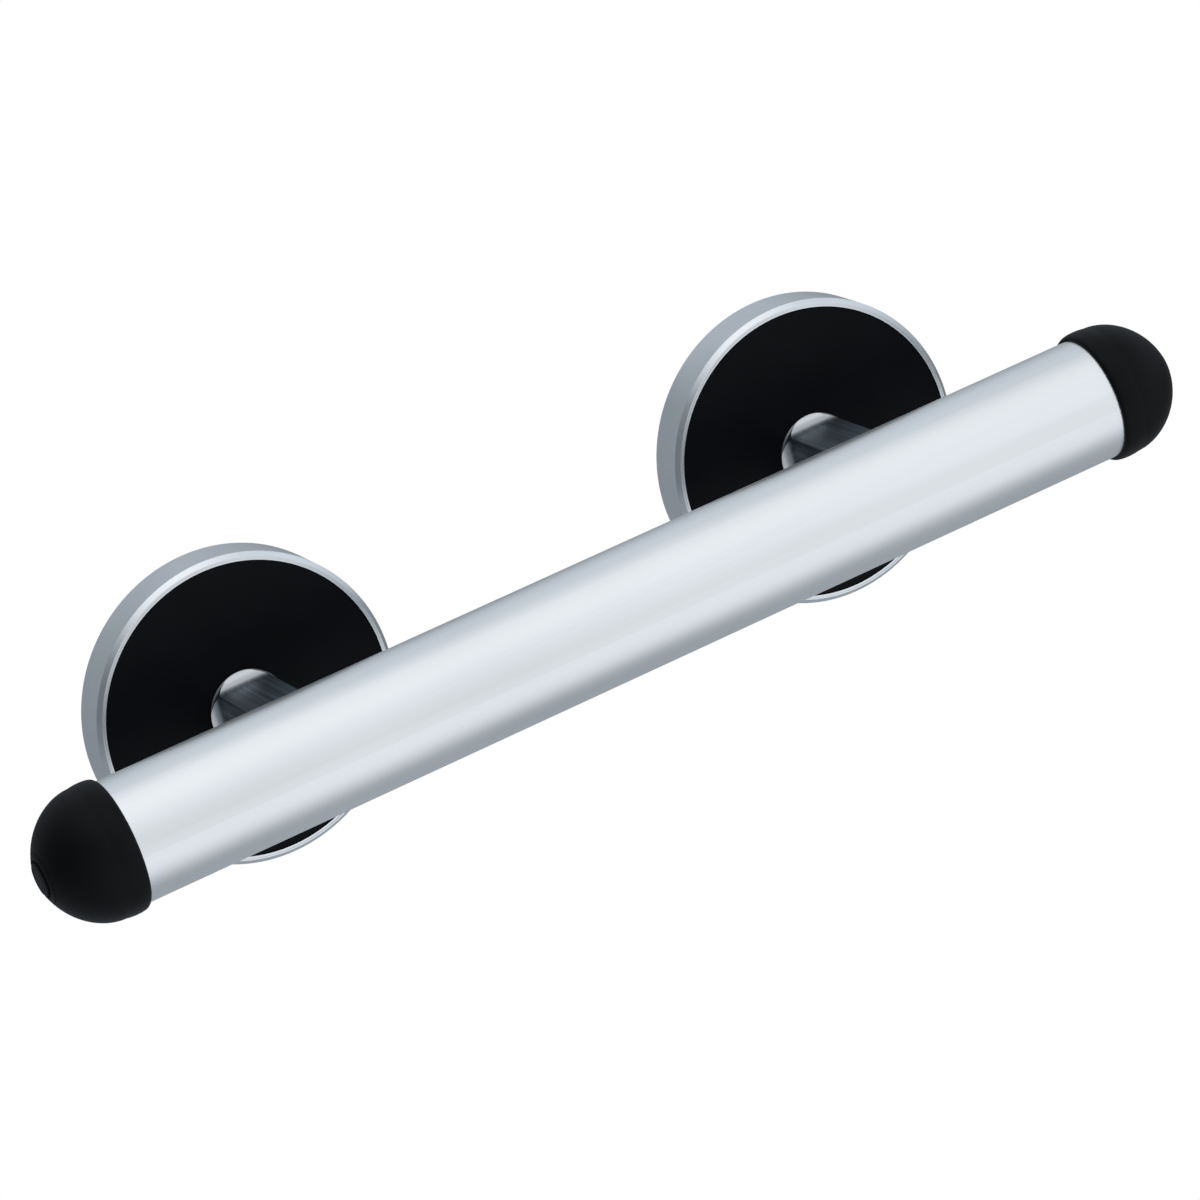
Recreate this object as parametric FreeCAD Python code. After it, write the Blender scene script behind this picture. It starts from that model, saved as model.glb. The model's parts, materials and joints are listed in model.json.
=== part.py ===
import FreeCAD, Part
import math
import os
from FreeCAD import Placement, Rotation, Vector

# Suction grab bar: a round bar on two short square posts. Each post stands on a round
# twist-lock suction foot. Turning a foot's ring a quarter turn clockwise pulls the middle
# of the rubber cup away from the wall, and the suction holds the bar.
#
# Frame, in millimetres: +X runs along the bar, +Z is up, the wall is the plane y = 0 and
# the room is on the -Y side. The origin lies on the wall, midway between the two feet.
# Each foot is drawn in a foot frame first, where z is the distance out from the wall.

# Driving dimensions of the whole bar
FOOT_SPACING = 183.0
FACE_OUT = 14.5
FACE_TO_BAR_AXIS = 53.8
BAR_AXIS_OUT = FACE_OUT + FACE_TO_BAR_AXIS
BAR_RADIUS = 17.5
BAR_WALL = 2.0
BAR_SHOWING = 305.4
CAP_OVERLAP = 5.65
BOLT_RADIUS = 3.0

# Rubber cup and the plate that lifts its middle
CUP_RADIUS = 40.5
CUP_FLANGE = 2.8
LIFT_TRAVEL = 2.5
PLATE_RADIUS = 19.0
PLATE_LOW = 1.95
PLATE_HIGH = 3.65
LEG_INNER = 15.6
LEG_OUTER = 18.8
LEG_HALF_ANGLE = 15.0
LEG_TOP = 10.4
LEG_ANGLES = (90.0, 210.0, 330.0)
PIN_RADIUS = 0.9
PIN_HEIGHT = 9.3
PIN_TIP = 21.5

# Fixed housing over the cup
HOUSING_RADIUS = 40.6
DECK_LOW = 6.4
DECK_HIGH = 7.4
TOWER_RADIUS = 13.9
TOWER_HIGH = 12.8
COLUMN_RADIUS = 9.92
COLUMN_HIGH = 14.7
COUNTERBORE_RADIUS = 6.4
COUNTERBORE_HIGH = 12.2
SPRING_SEAT = 11.8
DOWEL_RADIUS = 1.25
DOWEL_OFFSET = 5.2

# Turning ring: cam ring, face plate and bezel
SLEEVE_INNER = 19.2
SLEEVE_OUTER = 21.9
SLEEVE_LOW = 8.0
WEB_LOW = 11.7
WEB_HIGH = 13.1
QUARTER_TURN = 90.0
BOSS_CIRCLE = 31.0
BOSS_ANGLES = (20.0, 140.0, 260.0)
FACE_PLATE_RADIUS = 41.6
BEZEL_OUTER = 43.95
BEZEL_INNER = 42.2
BEZEL_LIP = 41.67
BEZEL_LOW = 0.8
BEZEL_CHAMFER = 1.2
LIP_GROOVE_OUTER = 42.4
LIP_GROOVE_INNER = 42.15
LIP_GROOVE_DEEP = 0.2

# Post
POST_SIDE = 16.0
POST_BASE_RADIUS = 11.4
POST_RUN_OUT = 4.4
POST_BASE_EDGE = 0.4
POST_CORNER_RADIUS = 11.15
THRUST_WASHER_RADIUS = 11.25
GASKET = 0.5

# End cap, as distance from the cap's edge towards its tip
CAP_CREST = 19.05
CAP_CREASE_AT = 6.3
CAP_DOME_START = 6.9
CAP_DOME_RADIUS = 18.75
CAP_TIP = 24.3
CAP_FULLNESS = 1.85
CAP_RING = 7.3
CAP_SPIGOT = 12.0
BADGE_RADIUS = 4.75
BADGE_SEAT = 22.7


def disc(low, high, radius, hole=0.0):
    """Flat disc about the z axis, with a round hole if one is given."""
    body = Part.makeCylinder(radius, high - low, Vector(0, 0, low))
    if hole > 0.0:
        body = body.cut(Part.makeCylinder(hole, high - low + 2.0, Vector(0, 0, low - 1.0)))
    return body


def turned(profile):
    """Solid turned about the z axis from a closed outline of (radius, height) corners."""
    corners = [Vector(radius, 0, height) for radius, height in profile]
    outline = Part.makePolygon(corners + corners[:1])
    return Part.Face(outline).revolve(Vector(0, 0, 0), Vector(0, 0, 1), 360)


def sector(low, high, inner, outer, middle, half):
    """Piece of a ring that spans an angle of twice half, centred on middle."""
    body = Part.makeCylinder(outer, high - low, Vector(0, 0, low), Vector(0, 0, 1), 2.0 * half)
    body = body.cut(Part.makeCylinder(inner, high - low + 2.0, Vector(0, 0, low - 1.0)))
    body.rotate(Vector(0, 0, 0), Vector(0, 0, 1), middle - half)
    return body


def radial_bar(low, high, inner, outer, width, angle):
    """Straight rib that runs outwards from the z axis."""
    body = Part.makeBox(outer - inner, width, high - low, Vector(inner, -width / 2.0, low))
    body.rotate(Vector(0, 0, 0), Vector(0, 0, 1), angle)
    return body


def radial_pin(height, inner, outer, radius, angle):
    """Round pin that runs outwards from the z axis."""
    body = Part.makeCylinder(radius, outer - inner, Vector(inner, 0, height), Vector(1, 0, 0))
    body.rotate(Vector(0, 0, 0), Vector(0, 0, 1), angle)
    return body


def upright_pin(low, high, radius, x, y):
    """Round pin parallel to the z axis."""
    return Part.makeCylinder(radius, high - low, Vector(x, y, low))


def around(circle, angle):
    """Point on a circle about the z axis."""
    turn = math.radians(angle)
    return circle * math.cos(turn), circle * math.sin(turn)


def joined(shapes):
    """One solid from shapes that meet."""
    whole = shapes[0]
    if len(shapes) > 1:
        whole = whole.fuse(shapes[1:])
    return whole.removeSplitter()


def without(body, tools):
    """Body with every tool cut away."""
    return body.cut(tools)


# Pieces of one foot, in the foot frame

def suction_cup():
    """Rubber cup: flat sealing rim, thin flexing middle and a raised pocket for the plate."""
    pocket = PLATE_RADIUS + 0.05
    return turned([
        (0.0, 0.9), (18.0, 0.9), (29.0, 0.35), (30.5, 0.0), (CUP_RADIUS, 0.0),
        (CUP_RADIUS, CUP_FLANGE - 0.5), (CUP_RADIUS - 0.5, CUP_FLANGE), (29.0, CUP_FLANGE),
        (27.8, 2.0), (22.2, 2.0), (20.9, 3.2), (20.4, 3.7), (pocket, 3.7), (pocket, 1.9),
        (0.0, 1.9),
    ])


def lift_plate():
    """Plate set in the cup, with three legs that stand up through the housing."""
    shapes = [disc(PLATE_LOW, PLATE_HIGH, PLATE_RADIUS)]
    for angle in LEG_ANGLES:
        shapes.append(sector(PLATE_HIGH - 0.2, LEG_TOP, LEG_INNER, LEG_OUTER, angle, LEG_HALF_ANGLE))
    plate = joined(shapes)
    holes = [radial_pin(PIN_HEIGHT, LEG_INNER - 1.0, LEG_OUTER + 1.0, PIN_RADIUS + 0.01, a)
             for a in LEG_ANGLES]
    holes.append(disc(PLATE_LOW - 1.0, PLATE_HIGH + 1.0, 4.0))
    return without(plate, holes)


def lift_pins():
    """Three steel pins, one through each leg, that ride in the slots of the cam ring."""
    pins = [radial_pin(PIN_HEIGHT, LEG_INNER + 0.1, PIN_TIP, PIN_RADIUS, a) for a in LEG_ANGLES]
    return Part.makeCompound(pins)


def return_spring():
    """Coil spring round the bolt that pushes the plate back to the wall."""
    wire = 0.6
    mean = 11.25
    turns = 3.0
    low = PLATE_HIGH + wire + 0.02
    high = SPRING_SEAT - wire - 0.02
    path = Part.Wire(Part.makeHelix((high - low) / turns, high - low, mean).Edges)
    corners = [around(wire, 22.5 + 45.0 * step) for step in range(8)]
    section = Part.makePolygon([Vector(mean + out, 0, up) for out, up in corners + corners[:1]])
    spring = path.makePipeShell([section], True, True)
    spring.translate(Vector(0, 0, low))
    return spring


def base_housing():
    """Fixed housing: clamps the cup's rim and carries the post on a central column."""
    shapes = [
        disc(DECK_LOW, DECK_HIGH, 30.0),
        disc(CUP_FLANGE, DECK_HIGH, 30.6, 29.0),
        disc(CUP_FLANGE, 5.2, HOUSING_RADIUS, 30.0),
        disc(CUP_FLANGE, 8.2, HOUSING_RADIUS, 39.0),
        disc(DECK_LOW, TOWER_HIGH, TOWER_RADIUS),
        disc(DECK_LOW, COLUMN_HIGH, COLUMN_RADIUS),
    ]
    for step in range(12):
        shapes.append(radial_bar(5.0, DECK_HIGH, 30.2, 39.4, 1.2, 15.0 + 30.0 * step))
    housing = joined(shapes)
    tools = [
        disc(DECK_LOW - 1.0, COUNTERBORE_HIGH, COUNTERBORE_RADIUS),
        disc(DECK_LOW - 1.0, COLUMN_HIGH + 1.0, BOLT_RADIUS + 0.3),
        disc(DECK_LOW - 1.0, SPRING_SEAT, 12.9, 9.6),
    ]
    for angle in LEG_ANGLES:
        tools.append(sector(DECK_LOW - 1.0, DECK_HIGH + 1.0, LEG_INNER - 0.4, LEG_OUTER + 0.35,
                            angle, LEG_HALF_ANGLE + 2.0))
    for side in (-1, 1):
        tools.append(upright_pin(12.6, COLUMN_HIGH + 1.0, DOWEL_RADIUS + 0.01,
                                 side * DOWEL_OFFSET, side * DOWEL_OFFSET))
    return without(housing, tools)


def slide_washer():
    """Slippery washer that the cam ring turns on."""
    return disc(DECK_HIGH, SLEEVE_LOW - 0.05, 24.0, LEG_OUTER + 0.5)


def cam_slot(angle):
    """Cutter for one helical slot: it climbs by the cup's travel in a quarter turn."""
    half = PIN_RADIUS + 0.07
    inner = SLEEVE_INNER - 0.6
    outer = SLEEVE_OUTER + 0.04
    pitch = LIFT_TRAVEL * 360.0 / QUARTER_TURN
    path = Part.Wire(Part.makeHelix(pitch, LIFT_TRAVEL, (inner + outer) / 2.0).Edges)
    corners = [Vector(inner, 0, -half), Vector(outer, 0, -half),
               Vector(outer, 0, half), Vector(inner, 0, half)]
    section = Part.makePolygon(corners + corners[:1])
    sweep = path.makePipeShell([section], True, True)
    sweep.translate(Vector(0, 0, PIN_HEIGHT))
    sweep.rotate(Vector(0, 0, 0), Vector(0, 0, 1), angle)
    rounded = half + 0.03
    return [
        sweep,
        radial_pin(PIN_HEIGHT, inner - 0.2, outer + 0.01, rounded, angle),
        radial_pin(PIN_HEIGHT + LIFT_TRAVEL, inner - 0.2, outer + 0.01, rounded,
                   angle + QUARTER_TURN),
    ]


def cam_ring():
    """Moulded carrier: slotted sleeve in the middle, ribbed web and an outer rim."""
    shapes = [
        disc(SLEEVE_LOW, WEB_HIGH, SLEEVE_OUTER, SLEEVE_INNER),
        disc(WEB_LOW, WEB_HIGH, BEZEL_INNER - 0.05, SLEEVE_OUTER - 0.4),
        disc(8.6, WEB_HIGH, BEZEL_INNER - 0.05, 40.95),
    ]
    for step in range(9):
        shapes.append(radial_bar(9.6, WEB_LOW + 0.4, SLEEVE_OUTER - 0.5, 41.2, 1.4, 40.0 * step))
    ring = joined(shapes)
    tools = []
    for angle in LEG_ANGLES:
        tools += cam_slot(angle)
    for angle in BOSS_ANGLES:
        x, y = around(BOSS_CIRCLE, angle)
        tools.append(upright_pin(WEB_LOW - 1.0, WEB_HIGH + 1.0, 2.7, x, y))
    for tool in tools:
        ring = ring.cut(tool)
    return ring


def face_plate():
    """Glossy round cover with three screw bosses behind it."""
    rim = FACE_PLATE_RADIUS
    top = FACE_OUT - 0.2
    shapes = [turned([
        (COLUMN_RADIUS + 0.07, WEB_HIGH), (rim, WEB_HIGH), (rim, top - 0.25), (rim - 0.25, top),
        (COLUMN_RADIUS + 0.07, top),
    ])]
    holes = []
    for angle in BOSS_ANGLES:
        x, y = around(BOSS_CIRCLE, angle)
        shapes.append(upright_pin(WEB_LOW, WEB_HIGH + 0.3, 2.6, x, y))
        holes.append(upright_pin(WEB_LOW - 1.0, 13.8, 1.12, x, y))
    return without(joined(shapes), holes)


def cover_screws():
    """Three pan-head screws that hold the face plate to the cam ring."""
    screws = []
    for angle in BOSS_ANGLES:
        x, y = around(BOSS_CIRCLE, angle)
        head = turned([(0.0, 10.3), (2.9, 10.3), (3.5, 10.9), (3.5, WEB_LOW), (0.0, WEB_LOW)])
        head = head.cut(Part.makeBox(4.0, 0.7, 0.8, Vector(-2.0, -0.35, 10.0)))
        head = head.cut(Part.makeBox(0.7, 4.0, 0.8, Vector(-0.35, -2.0, 10.0)))
        screw = joined([head, disc(WEB_LOW - 0.2, 13.7, 1.1)])
        screw.translate(Vector(x, y, 0))
        screws.append(screw)
    return Part.makeCompound(screws)


def bezel_ring():
    """Aluminium ring: straight side wall, chamfer and a narrow front lip with a fine groove."""
    return turned([
        (BEZEL_INNER, BEZEL_LOW), (BEZEL_OUTER - 0.3, BEZEL_LOW), (BEZEL_OUTER, BEZEL_LOW + 0.3),
        (BEZEL_OUTER, FACE_OUT - BEZEL_CHAMFER), (BEZEL_OUTER - BEZEL_CHAMFER, FACE_OUT),
        (LIP_GROOVE_OUTER, FACE_OUT), (LIP_GROOVE_OUTER, FACE_OUT - LIP_GROOVE_DEEP),
        (LIP_GROOVE_INNER, FACE_OUT - LIP_GROOVE_DEEP), (LIP_GROOVE_INNER, FACE_OUT),
        (BEZEL_LIP, FACE_OUT), (BEZEL_LIP, WEB_HIGH), (BEZEL_INNER, WEB_HIGH),
    ])


def thrust_washer():
    """Thin steel washer between the turning face plate and the post."""
    return disc(FACE_OUT - 0.15, COLUMN_HIGH, THRUST_WASHER_RADIUS, COLUMN_RADIUS + 0.08)


def post():
    """Round bar milled to a square, with concave run-outs at its round base."""
    flat = POST_SIDE / 2.0
    run = POST_RUN_OUT
    rise = run - math.sqrt(run ** 2 - (flat + run - POST_BASE_RADIUS) ** 2)
    base_top = COLUMN_HIGH + POST_BASE_EDGE - rise
    high = BAR_AXIS_OUT
    body = turned([
        (0.0, COLUMN_HIGH), (POST_BASE_RADIUS - 0.2, COLUMN_HIGH),
        (POST_BASE_RADIUS, COLUMN_HIGH + 0.2), (POST_BASE_RADIUS, COLUMN_HIGH + 0.5),
        (POST_CORNER_RADIUS, COLUMN_HIGH + 1.0), (POST_CORNER_RADIUS, high), (0.0, high),
    ])
    start = Vector(flat, 0, base_top + run)
    end = Vector(flat + run, 0, base_top)
    bend = Vector(flat + run * (1.0 - math.sqrt(0.5)), 0, base_top + run * (1.0 - math.sqrt(0.5)))
    outline = Part.Wire([
        Part.Arc(start, bend, end).toShape(),
        Part.makeLine(end, Vector(flat + 8.0, 0, base_top)),
        Part.makeLine(Vector(flat + 8.0, 0, base_top), Vector(flat + 8.0, 0, high + 2.0)),
        Part.makeLine(Vector(flat + 8.0, 0, high + 2.0), Vector(flat, 0, high + 2.0)),
        Part.makeLine(Vector(flat, 0, high + 2.0), start),
    ])
    for quarter in range(4):
        cutter = Part.Face(outline).extrude(Vector(0, 32, 0))
        cutter.translate(Vector(0, -16, 0))
        cutter.rotate(Vector(0, 0, 0), Vector(0, 0, 1), 90.0 * quarter)
        body = body.cut(cutter)
    saddle = Part.makeCylinder(BAR_RADIUS + GASKET, 60, Vector(-30, 0, BAR_AXIS_OUT), Vector(1, 0, 0))
    body = body.cut(saddle)
    body = body.cut(disc(COLUMN_HIGH - 1.0, high + 1.0, BOLT_RADIUS + 0.3))
    for side in (-1, 1):
        body = body.cut(upright_pin(COLUMN_HIGH - 1.0, 18.6, DOWEL_RADIUS + 0.01,
                                    side * DOWEL_OFFSET, side * DOWEL_OFFSET))
    return body


def post_dowels():
    """Two pins that stop the post turning on its housing."""
    pins = [upright_pin(12.7, 18.5, DOWEL_RADIUS, side * DOWEL_OFFSET, side * DOWEL_OFFSET)
            for side in (-1, 1)]
    return Part.makeCompound(pins)


def saddle_gasket():
    """Thin seal in the saddle between post and bar."""
    side = POST_SIDE - 0.6
    block = Part.makeBox(side, side, 20.0, Vector(-side / 2.0, -side / 2.0, BAR_AXIS_OUT - 20.0))
    outer = Part.makeCylinder(BAR_RADIUS + GASKET, 30, Vector(-15, 0, BAR_AXIS_OUT), Vector(1, 0, 0))
    inner = Part.makeCylinder(BAR_RADIUS, 32, Vector(-16, 0, BAR_AXIS_OUT), Vector(1, 0, 0))
    seal = block.common(outer).cut(inner)
    return seal.cut(disc(BAR_AXIS_OUT - 25.0, BAR_AXIS_OUT, BOLT_RADIUS + 0.3))


def bolt_washer():
    """Washer under the head of the through bolt."""
    return disc(11.0, COUNTERBORE_HIGH, 6.0, BOLT_RADIUS + 0.15)


def through_bolt():
    """Socket-head bolt from the housing through the post into the bar."""
    tip = BAR_AXIS_OUT - 8.0
    bolt = turned([
        (0.0, 7.0), (4.6, 7.0), (5.0, 7.4), (5.0, 11.0), (BOLT_RADIUS, 11.0),
        (BOLT_RADIUS, tip - 0.6), (BOLT_RADIUS - 0.6, tip), (0.0, tip),
    ])
    key = 5.0 / math.sqrt(3.0)
    corners = [Vector(*around(key, 60.0 * step), 6.5) for step in range(6)]
    socket = Part.Face(Part.makePolygon(corners + corners[:1])).extrude(Vector(0, 0, 3.0))
    return bolt.cut(socket)


def tube_nut_block():
    """Threaded block that lies in the bar and takes the bolt."""
    rod = Part.makeCylinder(BAR_RADIUS - BAR_WALL - 0.02, 26, Vector(-13, 0, BAR_AXIS_OUT),
                            Vector(1, 0, 0))
    keep = Part.makeBox(28, 40, 20, Vector(-14, -20, BAR_AXIS_OUT - 7.5 - 20.0))
    block = rod.common(keep)
    return block.cut(disc(BAR_AXIS_OUT - 30.0, BAR_AXIS_OUT, BOLT_RADIUS + 0.01))


# Pieces of the bar, turned about the z axis and laid along X afterwards

def bar_tube():
    """Round tube with one bolt hole over each foot."""
    half = BAR_SHOWING / 2.0 + CAP_OVERLAP
    tube = Part.makeCylinder(BAR_RADIUS, 2.0 * half, Vector(-half, 0, BAR_AXIS_OUT), Vector(1, 0, 0))
    bore = Part.makeCylinder(BAR_RADIUS - BAR_WALL, 2.0 * half + 2.0,
                             Vector(-half - 1.0, 0, BAR_AXIS_OUT), Vector(1, 0, 0))
    tube = tube.cut(bore)
    for side in (-1, 1):
        hole = upright_pin(BAR_AXIS_OUT - BAR_RADIUS - 1.0, BAR_AXIS_OUT, BOLT_RADIUS + 0.4,
                           side * FOOT_SPACING / 2.0, 0)
        tube = tube.cut(hole)
    return tube


def dome_point(turn):
    """Point (radius, distance) on the dome of an end cap."""
    power = 2.0 / CAP_FULLNESS
    radius = CAP_DOME_RADIUS * math.cos(turn) ** power
    along = CAP_DOME_START + (CAP_TIP - CAP_DOME_START) * math.sin(turn) ** power
    return radius, along


def end_cap():
    """Soft cap: spigot in the tube, skirt over its end, dome, and a rim round the badge's seat."""
    last = math.acos((CAP_RING / CAP_DOME_RADIUS) ** (CAP_FULLNESS / 2.0))
    dome = [dome_point(last * step / 8.0) for step in range(9)]
    skirt = [(18.0, 0.0), (18.6, 0.6), (18.95, 1.9), (CAP_CREST, 3.6), (18.98, 5.2),
             (18.82, CAP_CREASE_AT)]
    slot = BAR_RADIUS - BAR_WALL - 0.02

    def edge(first, second):
        return Part.makeLine(Vector(first[0], 0, first[1]), Vector(second[0], 0, second[1]))

    def curve(points):
        spline = Part.BSplineCurve()
        spline.interpolate([Vector(radius, 0, along) for radius, along in points])
        return spline.toShape()

    inside = [(17.52, CAP_OVERLAP), (slot, CAP_OVERLAP), (slot, 1.0), (15.1, 0.5), (15.1, -3.0),
              (slot, -3.5), (slot, -5.0), (15.1, -5.5), (15.1, -9.0), (slot, -9.5),
              (slot, -10.8), (14.4, -CAP_SPIGOT), (0.0, -CAP_SPIGOT)]
    tip = [(0.0, BADGE_SEAT), (5.3, BADGE_SEAT), (5.35, 23.0), (5.6, 23.25), (6.2, 23.12),
           (7.0, 22.75), (7.1, 22.6), (7.1, 22.35), (CAP_RING, 22.35), dome[-1]]
    edges = [curve(skirt), edge(skirt[-1], dome[0]), curve(dome)]
    for first, second in zip(reversed(tip), list(reversed(tip))[1:]):
        edges.append(edge(first, second))
    edges.append(edge(tip[0], inside[-1]))
    back = list(reversed(inside))
    for first, second in zip(back, back[1:]):
        edges.append(edge(first, second))
    edges.append(edge(inside[0], (17.52, 0.0)))
    edges.append(edge((17.52, 0.0), skirt[0]))
    outline = Part.Wire(Part.__sortEdges__(edges))
    return Part.Face(outline).revolve(Vector(0, 0, 0), Vector(0, 0, 1), 360)


def cap_badge():
    """Plain round disc set proud in the tip of an end cap, with one ring groove."""
    return turned([
        (0.0, BADGE_SEAT), (BADGE_RADIUS, BADGE_SEAT), (BADGE_RADIUS, 23.6),
        (BADGE_RADIUS - 0.25, 23.82), (3.5, 23.88), (3.4, 23.76), (3.2, 23.76), (3.1, 23.9),
        (1.6, 23.94), (0.0, 23.95),
    ])


# Placing and writing

def on_wall(shape, x=0.0):
    """Foot frame to the bar's frame: distance out from the wall becomes -Y."""
    placed = shape.copy()
    placed.rotate(Vector(0, 0, 0), Vector(1, 0, 0), 90)
    placed.translate(Vector(x, 0, 0))
    return placed


def on_bar_end(shape, side):
    """Cap frame to the bar's frame, on the end given by side."""
    placed = shape.copy()
    placed.Placement = Placement(Vector(side * BAR_SHOWING / 2.0, -BAR_AXIS_OUT, 0),
                                 Rotation(Vector(0, 1, 0), side * 90.0))
    return placed


def write(name, shape):
    """One STEP file per node."""
    shape.exportStep("parts/" + name + ".step")


FOOT_PIECES = {
    "suction_cup": suction_cup,
    "lift_plate": lift_plate,
    "lift_pins": lift_pins,
    "return_spring": return_spring,
    "base_housing": base_housing,
    "slide_washer": slide_washer,
    "cam_ring": cam_ring,
    "face_plate": face_plate,
    "cover_screws": cover_screws,
    "bezel_ring": bezel_ring,
    "thrust_washer": thrust_washer,
    "post": post,
    "post_dowels": post_dowels,
    "saddle_gasket": saddle_gasket,
    "bolt_washer": bolt_washer,
    "through_bolt": through_bolt,
    "tube_nut_block": tube_nut_block,
}

os.makedirs("parts", exist_ok=True)
write("bar_tube", on_wall(bar_tube()))
for label, side in (("left", -1), ("right", 1)):
    for piece, make in FOOT_PIECES.items():
        write(label + "_" + piece, on_wall(make(), side * FOOT_SPACING / 2.0))
    write(label + "_end_cap", on_bar_end(end_cap(), side))
    write(label + "_cap_badge", on_bar_end(cap_badge(), side))
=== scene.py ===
import json
import math

import bmesh
import bpy
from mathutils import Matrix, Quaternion, Vector


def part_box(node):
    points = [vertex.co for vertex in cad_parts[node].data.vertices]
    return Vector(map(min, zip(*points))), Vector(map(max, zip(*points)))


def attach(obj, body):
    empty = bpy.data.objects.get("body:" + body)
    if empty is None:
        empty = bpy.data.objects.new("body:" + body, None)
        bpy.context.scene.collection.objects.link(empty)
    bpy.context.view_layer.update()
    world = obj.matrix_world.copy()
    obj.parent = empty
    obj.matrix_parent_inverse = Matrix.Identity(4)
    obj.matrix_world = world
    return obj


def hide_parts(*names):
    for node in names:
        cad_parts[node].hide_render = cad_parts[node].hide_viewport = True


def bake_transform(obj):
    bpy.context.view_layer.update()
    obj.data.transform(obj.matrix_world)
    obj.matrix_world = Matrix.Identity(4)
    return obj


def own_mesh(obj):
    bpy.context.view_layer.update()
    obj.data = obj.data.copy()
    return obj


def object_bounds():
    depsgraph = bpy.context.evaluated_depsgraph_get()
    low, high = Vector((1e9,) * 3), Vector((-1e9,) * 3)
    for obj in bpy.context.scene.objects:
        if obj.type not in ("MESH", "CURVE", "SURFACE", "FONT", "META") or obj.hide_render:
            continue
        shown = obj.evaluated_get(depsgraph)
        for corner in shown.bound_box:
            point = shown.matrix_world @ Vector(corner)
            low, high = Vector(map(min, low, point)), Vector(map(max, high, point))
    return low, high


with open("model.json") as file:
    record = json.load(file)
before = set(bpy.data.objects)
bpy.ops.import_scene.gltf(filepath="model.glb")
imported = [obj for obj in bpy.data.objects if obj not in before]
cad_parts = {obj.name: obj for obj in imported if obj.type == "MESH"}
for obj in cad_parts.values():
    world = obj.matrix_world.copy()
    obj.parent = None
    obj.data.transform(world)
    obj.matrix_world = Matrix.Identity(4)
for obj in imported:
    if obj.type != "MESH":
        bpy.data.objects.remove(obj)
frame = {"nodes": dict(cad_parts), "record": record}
cad_low, cad_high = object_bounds()

# ---------------------------------------------------------------- sizes read from the frame
SIDES = ("left", "right")
FOOT_X = {}
for side in SIDES:
    low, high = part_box(side + "_bezel_ring")
    FOOT_X[side] = (low[0] + high[0]) / 2.0
HALF_SPACING = abs(FOOT_X["right"] - FOOT_X["left"]) / 2.0
# The post's round base stands this far out of the black face.
BASE_PROUD = 0.0012
BASE_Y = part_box("left_face_plate")[0].y - BASE_PROUD


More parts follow.
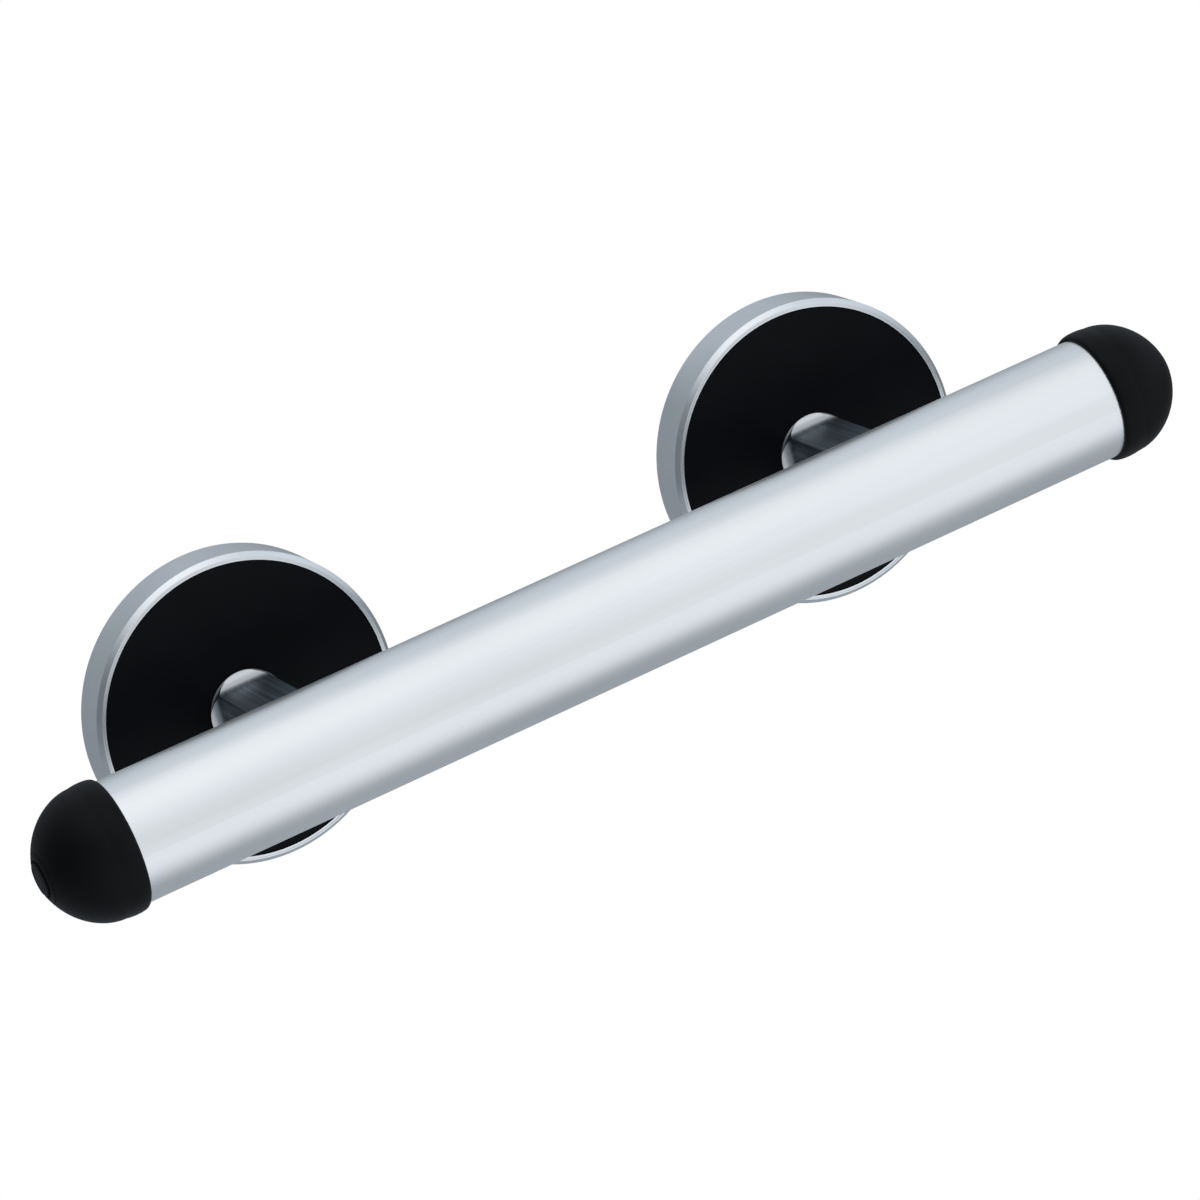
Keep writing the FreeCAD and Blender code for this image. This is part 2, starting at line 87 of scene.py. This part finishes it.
# ---------------------------------------------------------------- material helpers
class Nodes:
    """Short names for building one node material."""

    def __init__(self, name):
        self.material = bpy.data.materials.new(name)
        self.material.use_nodes = True
        self.tree = self.material.node_tree
        self.shader = self.tree.nodes["Principled BSDF"]

    def add(self, kind, **settings):
        node = self.tree.nodes.new(kind)
        for key, value in settings.items():
            setattr(node, key, value)
        return node

    def link(self, source, target):
        self.tree.links.new(source, target)

    def set(self, **values):
        for key, value in values.items():
            self.shader.inputs[key.replace("_", " ")].default_value = value

    def position(self, scale=(1.0, 1.0, 1.0)):
        """Position in the shared frame's metres, stretched by scale."""
        coordinates = self.add("ShaderNodeTexCoord")
        mapping = self.add("ShaderNodeMapping")
        mapping.inputs["Scale"].default_value = scale
        self.link(coordinates.outputs["Object"], mapping.inputs["Vector"])
        return mapping.outputs["Vector"]

    def noise(self, vector, scale, detail=2.0, roughness=0.5, distortion=0.0):
        node = self.add("ShaderNodeTexNoise")
        node.inputs["Scale"].default_value = scale
        node.inputs["Detail"].default_value = detail
        node.inputs["Roughness"].default_value = roughness
        node.inputs["Distortion"].default_value = distortion
        self.link(vector, node.inputs["Vector"])
        return node.outputs["Fac"]

    def ramp(self, value, stops):
        node = self.add("ShaderNodeValToRGB")
        node.color_ramp.elements[0].position = stops[0][0]
        node.color_ramp.elements[0].color = stops[0][1]
        node.color_ramp.elements[1].position = stops[-1][0]
        node.color_ramp.elements[1].color = stops[-1][1]
        for place, colour in stops[1:-1]:
            node.color_ramp.elements.new(place).color = colour
        self.link(value, node.inputs["Fac"])
        return node.outputs["Color"]

    def remap(self, value, low, high, source=(0.0, 1.0)):
        node = self.add("ShaderNodeMapRange")
        node.inputs["From Min"].default_value = source[0]
        node.inputs["From Max"].default_value = source[1]
        node.inputs["To Min"].default_value = low
        node.inputs["To Max"].default_value = high
        self.link(value, node.inputs["Value"])
        return node.outputs["Result"]

    def maths(self, operation, first, second=None):
        node = self.add("ShaderNodeMath", operation=operation)
        for index, value in enumerate((first, second)):
            if value is None:
                continue
            if isinstance(value, (int, float)):
                node.inputs[index].default_value = value
            else:
                self.link(value, node.inputs[index])
        return node.outputs["Value"]

    def mix(self, factor, first, second):
        node = self.add("ShaderNodeMix", data_type="RGBA")
        self.link(factor, node.inputs["Factor"])
        self.link(first, node.inputs["A"])
        self.link(second, node.inputs["B"])
        return node.outputs["Result"]

    def bump(self, height, distance, strength=1.0, under=None):
        node = self.add("ShaderNodeBump")
        node.inputs["Distance"].default_value = distance
        node.inputs["Strength"].default_value = strength
        self.link(height, node.inputs["Height"])
        if under is not None:
            self.link(under, node.inputs["Normal"])
        return node.outputs["Normal"]

    def foot_radius(self):
        """Distance from the nearer foot's axis, for marks left by turning."""
        coordinates = self.add("ShaderNodeTexCoord")
        parts = self.add("ShaderNodeSeparateXYZ")
        self.link(coordinates.outputs["Object"], parts.inputs["Vector"])
        across = self.maths("SUBTRACT", self.maths("ABSOLUTE", parts.outputs["X"]), HALF_SPACING)
        squared = self.maths("MULTIPLY", across, across)
        up = self.maths("MULTIPLY", parts.outputs["Z"], parts.outputs["Z"])
        return self.maths("SQRT", self.maths("ADD", squared, up)), parts.outputs["Y"]

    def turned_rings(self, fineness):
        """Noise in rings about the nearer foot's axis, as a lathe leaves them."""
        radius, depth = self.foot_radius()
        path = self.add("ShaderNodeCombineXYZ")
        self.link(self.maths("MULTIPLY", radius, fineness), path.inputs["X"])
        self.link(self.maths("MULTIPLY", depth, fineness), path.inputs["Y"])
        return self.noise(path.outputs["Vector"], 1.0, 2.0, 0.6)

    def surface(self, colour, roughness, normal):
        """Wires colour, roughness and bump into the shader and returns the material."""
        self.link(colour, self.shader.inputs["Base Color"])
        self.link(roughness, self.shader.inputs["Roughness"])
        self.link(normal, self.shader.inputs["Normal"])
        return self.material


def grey(value, tint=(1.0, 1.0, 1.0)):
    return (value * tint[0], value * tint[1], value * tint[2], 1.0)


def scaled(colour, factor):
    return tuple(min(1.0, channel * factor) for channel in colour) + (1.0,)


# Grain cells per metre, tints, and where the post changes from milled flat to polished: by how far a
# surface faces out of the wall, and by its distance from the wall. The flat tint is a painted reflection
# of blue light, and the base edge band gets a painted highlight as well as its polish.
BEAD_BLAST = 5200.0
FACE_TINT = (0.91, 1.0, 1.26)
FLAT_PAINTED_REFLECTION_TINT = (0.82, 1.0, 1.15)
RUN_OUT_FACING = (0.15, 0.55)
BASE_EDGE_POLISH_AND_HIGHLIGHT_DEPTH = (BASE_Y - 0.0005, BASE_Y + 0.0001)


def anodised_bar():
    """Satin anodised extrusion: bead-blasted grain, faint lines along the bar, soft clouding."""
    n = Nodes("bar_satin_anodised")
    n.set(Metallic=1.0, IOR=1.5)
    lines = n.noise(n.position((4.0, 1.0, 1.0)), 900.0, 3.0, 0.6)
    stretched = n.noise(n.position((6.0, 900.0, 900.0)), 1.0, 3.0, 0.55)
    grain = n.noise(n.position(), BEAD_BLAST, 2.0, 0.6)
    clouds = n.noise(n.position((0.5, 1.0, 1.0)), 26.0, 3.0, 0.5)
    tone = n.maths("ADD", n.maths("MULTIPLY", clouds, 0.6), n.maths("MULTIPLY", stretched, 0.4))
    colour = n.ramp(tone, [(0.3, grey(0.785, (0.995, 1.0, 1.004))),
                           (0.7, grey(0.835, (0.998, 1.0, 1.0)))])
    rough = n.maths("ADD", n.remap(clouds, 0.30, 0.38), n.remap(stretched, -0.02, 0.03))
    texture = n.maths("ADD", grain, n.maths("MULTIPLY", lines, 0.3))
    return n.surface(colour, rough, n.bump(texture, 0.000006, 0.5, n.bump(stretched, 0.000012, 0.5)))


def turned_aluminium(name, tone=0.78, rough=(0.26, 0.36)):
    """Anodised ring: fine rings left by turning, with bead-blasted grain over them."""
    n = Nodes(name)
    n.set(Metallic=1.0, IOR=1.5)
    rings = n.turned_rings(9000.0)
    grain = n.noise(n.position(), BEAD_BLAST, 2.0, 0.6)
    clouds = n.noise(n.position(), 45.0, 3.0, 0.5)
    colour = n.ramp(clouds, [(0.3, grey(tone - 0.03, (0.985, 1.0, 1.02))),
                             (0.7, grey(tone + 0.03, (0.985, 1.0, 1.015)))])
    normal = n.bump(grain, 0.000005, 0.5, n.bump(rings, 0.000006, 0.6))
    return n.surface(colour, n.remap(clouds, rough[0], rough[1]), normal)


def post_finish_and_painted_light():
    """Milled bar: satin flats with soft cutter lines along them, polished run-outs and base edge. The
    flats are darkened and tinted blue as a painted reflection of the black face, and the base edge is
    lightened as a painted highlight.
    """
    n = Nodes("post_polished_with_painted_light")
    n.set(Metallic=1.0, IOR=1.5)
    lines = n.noise(n.position((1300.0, 16.0, 1300.0)), 1.0, 3.0, 0.55)
    fine = n.noise(n.position((BEAD_BLAST, 40.0, BEAD_BLAST)), 1.0, 2.0, 0.6)
    clouds = n.noise(n.position(), 60.0, 3.0, 0.5)
    parts = n.add("ShaderNodeSeparateXYZ")
    n.link(n.add("ShaderNodeNewGeometry").outputs["Normal"], parts.inputs["Vector"])
    # Mask by facing: surfaces that face out of the wall take the lighter polished colour, the flats keep
    # the painted dark reflection.
    run_out = n.remap(n.maths("ABSOLUTE", parts.outputs["Y"]), 0.0, 1.0, RUN_OUT_FACING)
    # Band at the post's base: lowers the roughness there and lightens the colour as a painted highlight.
    edge = n.remap(n.foot_radius()[1], 0.0, 1.0, BASE_EDGE_POLISH_AND_HIGHLIGHT_DEPTH)
    # Flats: cutter lines, with the colour darkened and tinted blue as a painted reflection of the black
    # face and of blue light.
    flat_lines_and_painted_reflection = n.ramp(lines, [(0.34, grey(0.26, FLAT_PAINTED_REFLECTION_TINT)), (0.5, grey(0.34, FLAT_PAINTED_REFLECTION_TINT)),
                          (0.68, grey(0.48, FLAT_PAINTED_REFLECTION_TINT))])
    polished = n.ramp(clouds, [(0.3, grey(0.44, (0.96, 1.0, 1.03))),
                               (0.7, grey(0.49, (0.97, 1.0, 1.03)))])
    # Base edge colour, much lighter than the polished metal: a painted highlight.
    painted_edge_highlight = n.ramp(clouds, [(0.3, grey(0.66)), (0.7, grey(0.70))])
    satin = n.maths("ADD", n.remap(clouds, 0.38, 0.44), n.remap(lines, -0.04, 0.04))
    polish = n.maths("MULTIPLY", n.maths("MAXIMUM", run_out, edge), 0.04)
    normal = n.bump(fine, 0.000004, 0.4, n.bump(lines, 0.000012, 0.4))
    return n.surface(n.mix(edge, n.mix(run_out, flat_lines_and_painted_reflection, polished), painted_edge_highlight),
                     n.maths("SUBTRACT", satin, polish), normal)


def satin_black():
    """Black cover: even satin with a faint orange peel and fine polishing haze."""
    n = Nodes("face_satin_black")
    n.set(Metallic=0.0, IOR=1.45, Specular_IOR_Level=0.07)
    peel = n.noise(n.position(), 900.0, 2.0, 0.5)
    haze = n.noise(n.position(), 70.0, 4.0, 0.6)
    colour = n.ramp(haze, [(0.3, grey(0.0034, FACE_TINT)), (0.7, grey(0.0044, FACE_TINT))])
    return n.surface(colour, n.remap(haze, 0.26, 0.36), n.bump(peel, 0.000012, 0.25))


def soft_black(name, tone=0.0024, rough=(0.42, 0.54), grain_scale=3200.0, depth=0.00003, specular=0.10):
    """Moulded soft black plastic or rubber: spark-eroded grain, slightly worn to a sheen."""
    n = Nodes(name)
    n.set(Metallic=0.0, IOR=1.5, Specular_IOR_Level=specular)
    grain = n.noise(n.position(), grain_scale, 3.0, 0.65)
    clouds = n.noise(n.position(), 60.0, 3.0, 0.5)
    colour = n.ramp(clouds, [(0.3, grey(tone * 0.85, (0.90, 1.0, 1.22))),
                             (0.7, grey(tone * 1.2, (0.93, 1.0, 1.18)))])
    return n.surface(colour, n.remap(clouds, rough[0], rough[1]), n.bump(grain, depth, 0.5))


def moulded(name, colour, rough=(0.42, 0.55)):
    """Moulded plastic with fine grain and slight flow marks."""
    n = Nodes(name)
    n.set(Metallic=0.0, IOR=1.49)
    grain = n.noise(n.position(), 2600.0, 2.0, 0.6)
    flow = n.noise(n.position((1.0, 0.4, 1.0)), 90.0, 3.0, 0.5, 0.6)
    mottled = n.ramp(flow, [(0.3, scaled(colour, 0.9)), (0.7, scaled(colour, 1.08))])
    return n.surface(mottled, n.remap(flow, rough[0], rough[1]), n.bump(grain, 0.00002, 0.4))


def steel(name, colour, rough=(0.2, 0.32), marks=1800.0):
    """Plated or plain steel with fine machining marks and slight staining."""
    n = Nodes(name)
    n.set(Metallic=1.0, IOR=1.5)
    rings = n.turned_rings(marks)
    stain = n.noise(n.position(), 160.0, 4.0, 0.6)
    stained = n.ramp(stain, [(0.3, scaled(colour, 0.86)), (0.7, scaled(colour, 1.06))])
    return n.surface(stained, n.remap(stain, rough[0], rough[1]), n.bump(rings, 0.000008, 0.5))


# ---------------------------------------------------------------- materials on the carried-over nodes
LOOKS = {
    "bar_aluminium": anodised_bar(),
    "bezel_aluminium": turned_aluminium("bezel_turned_anodised"),
    "post_metal": post_finish_and_painted_light(),
    "block_aluminium": turned_aluminium("block_machined", 0.66, (0.35, 0.45)),
    "polished_steel": steel("steel_polished", (0.80, 0.81, 0.82), (0.12, 0.2)),
    "bolt_steel": steel("bolt_zinc_plated", (0.60, 0.61, 0.63)),
    "spring_steel": steel("spring_wire", (0.50, 0.50, 0.51), (0.25, 0.38), 5000.0),
    "face_gloss_black": satin_black(),
    "cap_black": soft_black("cap_soft_black"),
    "cup_rubber": soft_black("cup_rubber", 0.012, (0.42, 0.56), 2400.0, 0.00002, 0.4),
    "housing_plastic": moulded("housing_moulded", (0.022, 0.022, 0.024)),
    "cam_plastic": moulded("cam_moulded", (0.08, 0.084, 0.09)),
    "plate_plastic": moulded("plate_moulded", (0.22, 0.225, 0.23)),
    "washer_plastic": moulded("washer_moulded", (0.80, 0.79, 0.76), (0.3, 0.4)),
}
SLOT_OF = {part["node"]: part["material_slot"] for part in frame["record"]["subparts"]}
for node_name, item in frame["nodes"].items():
    item.data.materials.clear()
    item.data.materials.append(LOOKS[SLOT_OF[node_name]])


# ---------------------------------------------------------------- mesh helpers
MM = 0.001
FOOT_STEPS = 192


def new_piece(name, points, faces, slot, sharp_from=38.0):
    """Closed mesh with outward normals, smooth except at real edges, in its slot's material."""
    mesh = bpy.data.meshes.new(name)
    mesh.from_pydata(points, [], faces)
    shape = bmesh.new()
    shape.from_mesh(mesh)
    bmesh.ops.remove_doubles(shape, verts=shape.verts, dist=1e-7)
    bmesh.ops.recalc_face_normals(shape, faces=shape.faces)
    for face in shape.faces:
        face.smooth = True
    shape.to_mesh(mesh)
    shape.free()
    mesh.set_sharp_from_angle(angle=math.radians(sharp_from))
    mesh.materials.append(LOOKS[slot])
    piece = bpy.data.objects.new(name, mesh)
    bpy.context.scene.collection.objects.link(piece)
    return piece


def turned_about_foot(side, profile):
    """Points and faces of a profile turned about a foot's axis; it starts and ends on the axis.
    A profile point is (radius, distance out from the wall) in millimetres."""
    centre = FOOT_X[side]
    points = [(centre, -profile[0][1] * MM, 0.0)]
    for radius, out in profile[1:-1]:
        for step in range(FOOT_STEPS):
            turn = 2.0 * math.pi * step / FOOT_STEPS
            across, up = radius * MM * math.cos(turn), radius * MM * math.sin(turn)
            points.append((centre + across, -out * MM, up))
    points.append((centre, -profile[-1][1] * MM, 0.0))
    last = len(points) - 1
    rings = len(profile) - 2
    faces = []
    for step in range(FOOT_STEPS):
        beside = (step + 1) % FOOT_STEPS
        faces.append((0, 1 + step, 1 + beside))
        faces.append((last, last - FOOT_STEPS + beside, last - FOOT_STEPS + step))
        for ring in range(rings - 1):
            low = 1 + ring * FOOT_STEPS
            high = low + FOOT_STEPS
            faces.append((low + step, high + step, high + beside, low + beside))
    return points, faces


def rounded(corner, before, after, radius, steps=4):
    """Points that round one corner of a profile."""
    to_before = (Vector(before) - Vector(corner)).normalized() * radius
    to_after = (Vector(after) - Vector(corner)).normalized() * radius
    start, middle, end = Vector(corner) + to_before, Vector(corner), Vector(corner) + to_after
    points = []
    for step in range(steps + 1):
        t = step / steps
        point = start * (1.0 - t) ** 2 + middle * 2.0 * t * (1.0 - t) + end * t ** 2
        points.append((point.x, point.y))
    return points


def soften(profile, radii):
    """Profile with the corners named in radii (index to radius) rounded."""
    points = []
    for index, corner in enumerate(profile):
        if index in radii:
            points += rounded(corner, profile[index - 1], profile[index + 1], radii[index])
        else:
            points.append(corner)
    return points


# ---------------------------------------------------------------- rubber suction cups
SEAL_INNER = 30.6
BEAD_STEPS = 8
BEAD_PITCH = 2.4
BEAD_COUNT = 4
BEAD_DEPTH = 0.32


def suction_cup(side):
    """Cup with fine sealing beads on its rim, a thin skirt and the pocket for the lift plate."""
    edge = (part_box(side + "_suction_cup")[1].x - FOOT_X[side]) / MM
    profile = [(0.0, 0.98), (9.0, 0.95), (17.5, 0.9), (24.0, 0.62), (29.2, 0.34)]
    for step in range(BEAD_STEPS * BEAD_COUNT + 1):
        along = step / BEAD_STEPS
        lift = BEAD_DEPTH * (1.0 - math.cos(2.0 * math.pi * along)) / 2.0
        profile.append((SEAL_INNER + BEAD_PITCH * along, lift))
    room_side = [(edge - 0.2, 0.0), (edge, 0.3), (edge, 2.8), (29.2, 2.8), (28.2, 2.0), (25.0, 1.95),
                 (22.0, 2.0), (20.4, 3.7), (19.05, 3.7), (19.05, 1.9), (0.0, 1.9)]
    profile += soften(room_side, {1: 0.2, 2: 0.45, 3: 0.4, 4: 0.5, 6: 0.6, 7: 0.4, 8: 0.15})
    points, faces = turned_about_foot(side, profile)
    cup = new_piece(side + "_rubber_cup", points, faces, "cup_rubber")
    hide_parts(side + "_suction_cup")
    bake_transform(cup)


# ---------------------------------------------------------------- return springs
WIRE_RADIUS = 0.6
SPRING_TURNS = 4.0
CLOSED_TURNS = 0.85
WIRE_SIDES = 16
STEPS_PER_TURN = 48
COIL_PITCH_CLOSED = 2.05


def return_spring(side):
    """Round wire coil with closed ends, carried with the bar."""
    low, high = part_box(side + "_return_spring")
    centre = FOOT_X[side]
    wire = WIRE_RADIUS * MM
    mean = (high.x - low.x) / 2.0 - wire
    near_wall, far = -high.y + wire, -low.y - wire
    closed_rise = COIL_PITCH_CLOSED * wire * CLOSED_TURNS
    open_turns = SPRING_TURNS - 2.0 * CLOSED_TURNS
    points, faces = [], []
    steps = int(SPRING_TURNS * STEPS_PER_TURN)
    for step in range(steps + 1):
        turns = SPRING_TURNS * step / steps
        if turns < CLOSED_TURNS:
            out = near_wall + closed_rise * turns / CLOSED_TURNS
        elif turns > SPRING_TURNS - CLOSED_TURNS:
            out = far - closed_rise * (SPRING_TURNS - turns) / CLOSED_TURNS
        else:
            share = (turns - CLOSED_TURNS) / open_turns
            out = near_wall + closed_rise + (far - near_wall - 2.0 * closed_rise) * share
        turn = 2.0 * math.pi * turns
        for corner in range(WIRE_SIDES):
            around = 2.0 * math.pi * corner / WIRE_SIDES
            radius = mean + wire * math.cos(around)
            points.append((centre + radius * math.cos(turn), -out - wire * math.sin(around),
                           radius * math.sin(turn)))
    for step in range(steps):
        first = step * WIRE_SIDES
        for corner in range(WIRE_SIDES):
            beside = (corner + 1) % WIRE_SIDES
            faces.append((first + corner, first + WIRE_SIDES + corner,
                          first + WIRE_SIDES + beside, first + beside))
    faces.append(tuple(range(WIRE_SIDES)))
    faces.append(tuple(reversed(range(steps * WIRE_SIDES, (steps + 1) * WIRE_SIDES))))
    spring = new_piece(side + "_coil_spring", points, faces, "spring_steel")
    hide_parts(side + "_return_spring")
    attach(spring, "bar")
    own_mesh(spring)


for side in SIDES:
    suction_cup(side)
    return_spring(side)


# ---------------------------------------------------------------- stage: floor, camera and light
FLOOR_BELOW = 2.2
COVE_REACH = 9.0
COVE_BEND = 4.0
COVE_HIGH = 14.0
COVE_STEPS = 12
COVE_SIDES = 96


def stage_floor():
    """Pale floor that sweeps up into a round backdrop. Only the camera sees it."""
    low = cad_low.z - FLOOR_BELOW
    outline = [(0.0, low), (COVE_REACH - COVE_BEND, low)]
    for step in range(1, COVE_STEPS + 1):
        turn = math.radians(90.0 * step / COVE_STEPS)
        outline.append((COVE_REACH - COVE_BEND + COVE_BEND * math.sin(turn),
                        low + COVE_BEND * (1.0 - math.cos(turn))))
    outline.append((COVE_REACH, low + COVE_HIGH))
    points, faces = [(0.0, 0.0, low)], []
    for radius, height in outline[1:]:
        for step in range(COVE_SIDES):
            turn = 2.0 * math.pi * step / COVE_SIDES
            points.append((radius * math.cos(turn), radius * math.sin(turn), height))
    for step in range(COVE_SIDES):
        faces.append((0, 1 + step, 1 + (step + 1) % COVE_SIDES))
    for ring in range(len(outline) - 2):
        first = 1 + ring * COVE_SIDES
        for step in range(COVE_SIDES):
            beside = (step + 1) % COVE_SIDES
            above = first + COVE_SIDES
            faces.append((first + step, above + step, above + beside, first + beside))
    mesh = bpy.data.meshes.new("floor")
    mesh.from_pydata(points, [], faces)
    floor = bpy.data.objects.new("floor", mesh)
    bpy.context.scene.collection.objects.link(floor)
    for rays in ("diffuse", "glossy", "transmission", "volume_scatter", "shadow"):
        setattr(floor, "visible_" + rays, False)
    n = Nodes("floor_pale")
    n.set(Metallic=0.0, Roughness=0.9, Base_Color=grey(0.0), Specular_IOR_Level=0.0,
          Emission_Color=grey(1.0), Emission_Strength=1.0)
    mesh.materials.append(n.material)


def direction_from(heading, elevation):
    """Unit vector from the object towards a heading and an elevation in degrees."""
    turn, rise = math.radians(heading), math.radians(elevation)
    level = math.cos(rise)
    return Vector((math.sin(turn) * level, -math.cos(turn) * level, math.sin(rise)))


# Camera at the photographed angle: angles in degrees, distance and aim in metres, lens in mm.
CAMERA_AZIMUTH = -19.9
CAMERA_ELEVATION = 19.0
CAMERA_ROLL = -17.8
CAMERA_DISTANCE = 1.706
CAMERA_AIM = (0.0053, -0.0430, -0.0031)
CAMERA_LENS = 186.0
CAMERA_SENSOR = 36.0
CAMERA_SEES = (0.05, 60.0)


def place_camera():
    data = bpy.data.cameras.new("camera")
    data.sensor_width = CAMERA_SENSOR
    data.lens = CAMERA_LENS
    data.clip_start, data.clip_end = CAMERA_SEES
    camera = bpy.data.objects.new("camera", data)
    bpy.context.scene.collection.objects.link(camera)
    back = direction_from(CAMERA_AZIMUTH, CAMERA_ELEVATION)
    camera.location = Vector(CAMERA_AIM) + back * CAMERA_DISTANCE
    camera.rotation_mode = "QUATERNION"
    roll = Quaternion((0.0, 0.0, 1.0), math.radians(CAMERA_ROLL))
    camera.rotation_quaternion = (-back).to_track_quat("-Z", "Y") @ roll
    bpy.context.scene.camera = camera


# Soft light by direction. Each softbox has a name, a heading (0 is from the room, 90 from the bar's
# right end, 180 from the wall), an elevation, the angles from its middle where it starts and ends
# to fade, a radiance and a tint.
WARM = (1.04, 1.0, 0.96)
NEUTRAL = (0.98, 1.0, 1.02)
COOL = (0.90, 1.0, 1.10)
SOFTBOXES = (
    ("key", 0.0, 75.0, 5.0, 45.0, 0.60, WARM),
    ("ceiling", 90.0, 65.0, 20.0, 90.0, 0.55, COOL),
    ("room", 10.0, -10.0, 20.0, 75.0, 0.65, NEUTRAL),
    ("right", 65.0, 10.0, 5.0, 50.0, 0.45, COOL),
    ("left", -90.0, 15.0, 30.0, 95.0, 0.15, COOL),
    ("wall", 180.0, 10.0, 25.0, 85.0, 0.25, COOL),
    ("floor", 0.0, -75.0, 30.0, 95.0, 0.40, COOL),
)


def studio():
    """World light: the softboxes added up over the sphere of directions."""
    world = bpy.data.worlds.new("studio")
    bpy.context.scene.world = world
    world.use_nodes = True
    tree = world.node_tree
    directions = tree.nodes.new("ShaderNodeTexCoord").outputs["Generated"]
    total = None
    for name, heading, elevation, full, gone, radiance, tint in SOFTBOXES:
        facing = tree.nodes.new("ShaderNodeVectorMath")
        facing.operation = "DOT_PRODUCT"
        facing.label = name
        facing.inputs[1].default_value = direction_from(heading, elevation)
        tree.links.new(directions, facing.inputs[0])
        fade = tree.nodes.new("ShaderNodeMapRange")
        fade.interpolation_type = "SMOOTHSTEP"
        fade.inputs["From Min"].default_value = math.cos(math.radians(gone))
        fade.inputs["From Max"].default_value = math.cos(math.radians(full))
        fade.inputs["To Max"].default_value = radiance
        tree.links.new(facing.outputs["Value"], fade.inputs["Value"])
        coloured = tree.nodes.new("ShaderNodeVectorMath")
        coloured.operation = "SCALE"
        coloured.inputs[0].default_value = tint
        tree.links.new(fade.outputs["Result"], coloured.inputs["Scale"])
        if total is None:
            total = coloured.outputs["Vector"]
            continue
        added = tree.nodes.new("ShaderNodeVectorMath")
        added.operation = "ADD"
        tree.links.new(total, added.inputs[0])
        tree.links.new(coloured.outputs["Vector"], added.inputs[1])
        total = added.outputs["Vector"]
    tree.links.new(total, tree.nodes["Background"].inputs["Color"])


stage_floor()
place_camera()
studio()
bpy.context.scene.view_settings.view_transform = "Standard"
